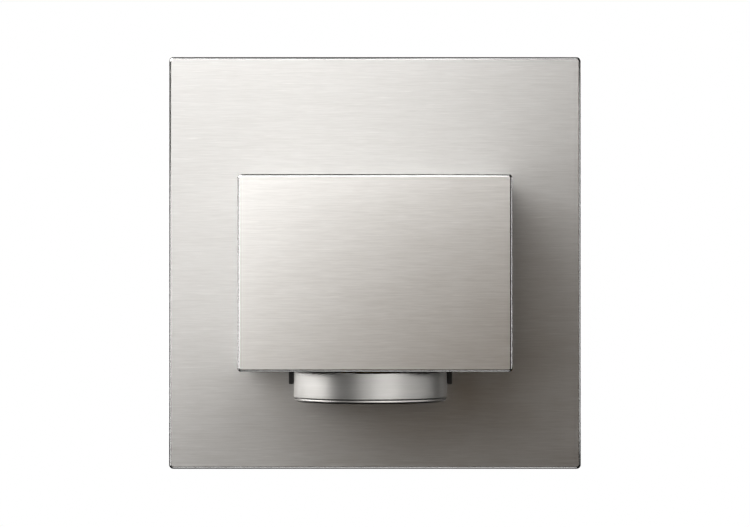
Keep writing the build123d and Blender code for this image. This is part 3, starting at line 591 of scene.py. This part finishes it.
def fuse():
    """A glass tube with plated caps and the thin wire between them."""
    low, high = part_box("fuse")
    centre = (low + high) / 2
    radius = (high.y - low.y) / 2
    cap, inset, wire_radius = 0.0052, 0.0012, 0.00012
    bore, glass_radius = 0.80 * radius, 0.93 * radius
    start, end = low.x + inset, high.x - inset
    wall = softened(glass_radius, start, end) + [(bore, end), (bore, start)]
    tube = turned_along_x("fuse_tube", centre, wall, open_ended=True)
    finish_piece(tube, "base", "fuse_glass")
    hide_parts("fuse")
    for side, start, end in (("left", low.x, low.x + cap), ("right", high.x - cap, high.x)):
        made = turned_along_x(f"fuse_cap_{side}", centre, softened(radius, start, end), open_ended=False)
        finish_piece(made, "base", "screw_steel")
    count, sag = 24, 0.0004
    span = high.x - low.x - 2 * cap
    line = []
    for step in range(count + 1):
        share = step / count
        line.append((low.x + cap + span * share, centre.y, centre.z - sag * math.sin(math.pi * share)))
    thin = wire("fuse_wire", [line], wire_radius)
    finish_piece(thin, "base", "copper")


for level in ("upper", "lower"):
    plunger_coils(level)
choke()
fuse()

RING_SCREWS = [(0.011, 0.0205), (-0.011, -0.0205)]
BOARD_SCREWS = [(-0.009, 0.012), (0.009, 0.012)]
BLOCK_LOW, BLOCK_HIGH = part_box("rocker_plate")
BLOCK_MIDDLE_Z = (BLOCK_LOW.z + BLOCK_HIGH.z) / 2
HOUSING_SCREWS = [(x, BLOCK_MIDDLE_Z + z) for x in (-0.0202, 0.0202) for z in (-0.0132, 0.0132)]
CLAW_SCREW_X = 0.0262
threads("ring_screws", "base", RING_SCREWS, front=0.0005, back=0.0062, radius=0.0011)
threads("board_screws", "base", BOARD_SCREWS, front=-0.0246, back=-0.0206, radius=0.0009, pitch=FINE_PITCH)
threads("housing_screws", "base", HOUSING_SCREWS, front=-0.0158, back=-0.0062, radius=0.00125)
for side, word in ((-1, "left"), (1, "right")):
    screw = f"claw_screw_{word}"
    threads(screw, screw, [(side * CLAW_SCREW_X, 0)], front=0.0006, back=0.0078, radius=0.00125)


# ---- stage ---------------------------------------------------------------------------------------
CAMERA_PLACE = (0.00001, -0.6055, -0.0001)
LENS = 148.32
FLOOR_Z, FLOOR_SIDE, FLOOR_BACK = -0.16, 0.9, 0.5
DIFFUSE_WORLD = 0.8
WARM = (1.0, 0.997, 0.988)
BROWN = (1.0, 0.5, 0.02)

# What each group of lights shines on.
KNOB_NODES = ("knob_shell", "knob_hub")
BLOCK_NODES = ("rocker_plate", "housing_shell")
FRONT_NODES = ("cover_plate", "knob_guard", *BLOCK_NODES)

# The flag stands round the knob's axis, clear of the block, with its foot just above the block's lower edge.
FLAG_RADIUS = 0.040
FLAG_FOOT, FLAG_TOP = -0.0172, 0.004
FLAG_STEPS, FLAG_SPREAD = 48, 140

# The key light and its fills are soft boxes in one upright plane: middle (x, z), size, watts.
KEY_Y = -0.17
KEY_LIGHTS = {
    "high": ((-0.21, 0.24), (0.24, 0.18), 1.91),
    "side": ((-0.27, 0.15), (0.12, 0.12), 0.98),
    "strip": ((-0.06, 0.15), (0.06, 0.36), 0.073),
    "middle": ((0.0, 0.09), (0.06, 0.12), 0.080),
    "low": ((-0.09, 0.0), (0.12, 0.06), 0.031),
}
# The knob has its own ring of small lamps, in arcs of even strength. The arcs' ends are in degrees round from
# the front, and the watts are those of each lamp.
KNOB_AIM = (0, -0.02, -0.022)
KNOB_LIGHT_RADIUS, KNOB_LIGHT_Z = 0.35, 0.025
KNOB_LIGHT_SIZE, KNOB_LIGHT_STEP = 0.07, 12
KNOB_ARCS = {
    (-120, -108): 0.24,
    (-96, -72): 0.145,
    (-60, -24): 0.009,
    (-12, 0): 0.050,
    (12, 36): 0.088,
    (48, 96): 0.048,
}
# Small lamps close to the edges draw the bright lines along them: place, size, watts.
EDGE_LIGHTS = {
    "right": ((0.095, -0.05, 0), (0.02, 0.08), 0.009),
    "left": ((-0.095, -0.05, -0.02), (0.02, 0.08), 0.012),
    "below": ((0, -0.05, -0.095), (0.10, 0.02), 0.013),
    "above": ((0.03, -0.05, 0.095), (0.06, 0.02), 0.007),
}
BLOCK_EDGE_LIGHT = ((-0.44, 0.02, 0), (0.10, 0.10), 0.04)
# A faint brown glow from the front, as from a room, shows in the darkest steel.
GLOW_PLACE, GLOW_SIZE, GLOW_WATTS = (0, -0.9, 0), (0.3, 0.3), 0.080
# Two lamps behind light the back in other views.
BACK_X, BACK_Y, BACK_Z = 0.28, 0.75, 0.12
BACK_SIZE, BACK_WATTS = (0.4, 0.4), 2.2


def area_light(name, place, target, size, power, colour, lit=None):
    """A rectangular lamp that the camera doesn't see. It shines on a collection of objects, or on all."""
    data = bpy.data.lights.new(name, "AREA")
    data.shape = "RECTANGLE"
    data.size, data.size_y = size
    data.energy = power
    data.color = colour
    light = bpy.data.objects.new(name, data)
    light.location = place
    light.rotation_euler = (Vector(target) - Vector(place)).to_track_quat("-Z", "Y").to_euler()
    light.visible_camera = False
    light.light_linking.receiver_collection = lit
    bpy.context.scene.collection.objects.link(light)
    return light


def camera():
    """The camera straight in front of the plate, 0.6 m away."""
    data = bpy.data.cameras.new("camera")
    data.lens = LENS
    data.sensor_width = 36.0
    data.clip_start = 0.01
    made = bpy.data.objects.new("camera", data)
    made.location = CAMERA_PLACE
    made.rotation_euler = (math.radians(90), 0, 0)
    bpy.context.scene.collection.objects.link(made)
    bpy.context.scene.camera = made


def floor():
    """A plain pale floor, left out of reflections."""
    near, far = -FLOOR_SIDE, FLOOR_BACK
    left, right = -FLOOR_SIDE, FLOOR_SIDE
    corners = [(left, near, FLOOR_Z), (right, near, FLOOR_Z), (right, far, FLOOR_Z), (left, far, FLOOR_Z)]
    mesh = bpy.data.meshes.new("floor")
    mesh.from_pydata(corners, [], [(0, 1, 2, 3)])
    made = bpy.data.objects.new("floor", mesh)
    bpy.context.scene.collection.objects.link(made)
    made.data.materials.append(moulded("floor_paper", (0.78, 0.78, 0.77), (0.82, 0.82, 0.81), 0.7, 0.05, 300))
    made.visible_glossy = False


def world(diffuse):
    """White to the camera, an even light to matt surfaces, and dark to reflections, which show only lamps."""
    made = bpy.data.worlds.new("studio")
    bpy.context.scene.world = made
    made.use_nodes = True
    nt = made.node_tree
    nt.nodes.clear()
    out = nt.nodes.new("ShaderNodeOutputWorld")
    path = nt.nodes.new("ShaderNodeLightPath")
    background = nt.nodes.new("ShaderNodeBackground")
    background.inputs["Color"].default_value = (1, 1, 1, 1)
    matt = nt.nodes.new("ShaderNodeMath")
    matt.operation = "MULTIPLY"
    matt.inputs[1].default_value = diffuse
    total = nt.nodes.new("ShaderNodeMath")
    total.operation = "ADD"
    nt.links.new(path.outputs["Is Diffuse Ray"], matt.inputs[0])
    nt.links.new(path.outputs["Is Camera Ray"], total.inputs[0])
    nt.links.new(matt.outputs["Value"], total.inputs[1])
    nt.links.new(total.outputs["Value"], background.inputs["Strength"])
    nt.links.new(background.outputs["Background"], out.inputs["Surface"])


def linked(name, objects, state):
    """A collection that says which objects a light shines on or is shaded by, or leaves out."""
    made = bpy.data.collections.new(name)
    for index, thing in enumerate(objects):
        made.objects.link(thing)
        made.collection_objects[index].light_linking.link_state = state
    return made


def flag():
    """A curved studio flag that shades the top of the barrel. Neither camera nor reflections see it."""
    points, faces = [], []
    for step in range(FLAG_STEPS + 1):
        angle = math.radians(FLAG_SPREAD * (2 * step / FLAG_STEPS - 1))
        x = KNOB_AXIS[0] + FLAG_RADIUS * math.sin(angle)
        y = KNOB_AXIS[1] - FLAG_RADIUS * math.cos(angle)
        points += [(x, y, FLAG_FOOT), (x, y, FLAG_TOP)]
    for step in range(FLAG_STEPS):
        a = 2 * step
        faces.append((a, a + 2, a + 3, a + 1))
    mesh = bpy.data.meshes.new("flag")
    mesh.from_pydata(points, [], faces)
    made = bpy.data.objects.new("flag", mesh)
    bpy.context.scene.collection.objects.link(made)
    made.visible_camera = False
    made.visible_diffuse = False
    made.visible_glossy = False
    made.visible_transmission = False
    made.data.materials.append(BLACK)
    return made


def knob_lamps(lit):
    """The ring of small lamps that the knob alone reflects."""
    for (first, last), watts in KNOB_ARCS.items():
        for turn in range(first, last + 1, KNOB_LIGHT_STEP):
            angle = math.radians(turn)
            x = KNOB_LIGHT_RADIUS * math.sin(angle)
            y = KNOB_AIM[1] - KNOB_LIGHT_RADIUS * math.cos(angle)
            size = (KNOB_LIGHT_SIZE, KNOB_LIGHT_SIZE)
            name = f"knob_light_{turn + 180}"
            area_light(name, (x, y, KNOB_LIGHT_Z), KNOB_AIM, size, watts, WARM, lit)


def front_lamps(but_knob, only_block, only_front):
    """Every other lamp: the key light, the edge lights, the glow and the lamps behind."""
    lamps = []
    for name, ((x, z), size, watts) in KEY_LIGHTS.items():
        lamps.append(area_light(f"key_{name}", (x, KEY_Y, z), (x, 0, z), size, watts, WARM, but_knob))
    for name, (place, size, watts) in EDGE_LIGHTS.items():
        lamps.append(area_light(f"edge_{name}", place, (0, 0, 0), size, watts, WARM, but_knob))
    place, size, watts = BLOCK_EDGE_LIGHT
    lamps.append(area_light("edge_block_left", place, (0, 0, 0), size, watts, WARM, only_block))
    lamps.append(area_light("glow", GLOW_PLACE, (0, 0, 0), GLOW_SIZE, GLOW_WATTS, BROWN, only_front))
    for side in (-1, 1):
        place = (side * BACK_X, BACK_Y, BACK_Z)
        lamps.append(area_light(f"back_{side + 1}", place, (0, 0, 0), BACK_SIZE, BACK_WATTS, WARM))
    return lamps


camera()
floor()
world(DIFFUSE_WORLD)
bpy.context.scene.view_settings.view_transform = "Standard"

knob_parts = [NODES[name] for name in KNOB_NODES]
only_knob = linked("only_knob", knob_parts, "INCLUDE")
but_knob = linked("but_knob", knob_parts, "EXCLUDE")
only_block = linked("only_block", [NODES[name] for name in BLOCK_NODES], "INCLUDE")
only_front = linked("only_front", [NODES[name] for name in FRONT_NODES], "INCLUDE")
no_flag = linked("no_flag", [flag()], "EXCLUDE")
knob_lamps(only_knob)
for lamp in front_lamps(but_knob, only_block, only_front):
    lamp.light_linking.blocker_collection = no_flag
